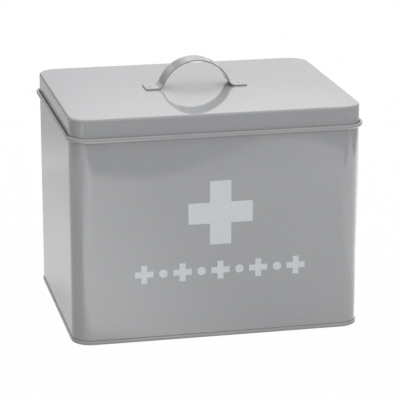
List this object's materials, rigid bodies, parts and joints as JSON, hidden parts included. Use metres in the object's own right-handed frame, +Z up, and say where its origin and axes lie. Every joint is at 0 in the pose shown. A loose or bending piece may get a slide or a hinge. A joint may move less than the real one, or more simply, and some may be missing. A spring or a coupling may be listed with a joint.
{
  "type": "metal storage box with lift-off lid",
  "caption": "Rectangular painted steel box with rounded corners, a rim gutter, a lift-off lid with an arched strap handle, and a printed cross on the front.",
  "frame": {"origin": "on the surface the box stands on, under the middle of the box", "axes": "+Z up, +X to the right along the box's long side, -Y to the front, which carries the printed cross"},
  "size_m": [0.2252, 0.1792, 0.1957],
  "materials": {
    "wall_paint": "gloss grey enamel paint",
    "lid_paint": "gloss grey enamel paint",
    "handle_paint": "gloss grey enamel paint",
    "print_ink": "pale grey-white screen print, satin"
  },
  "bodies": {
    "box": {"body_wall": "wall_paint", "base_panel": "wall_paint", "neck_collar": "wall_paint", "cross_print": "print_ink", "row_print": "print_ink"},
    "lid": {"lid_shell": "lid_paint", "handle_strap": "handle_paint", "handle_rivets": "handle_paint"}
  },
  "joints": [
    {"name": "lid_lift", "type": "slide", "parent": "box", "child": "lid", "axis": [0, 0, 1], "range_m": [0, 0.08]}
  ]
}
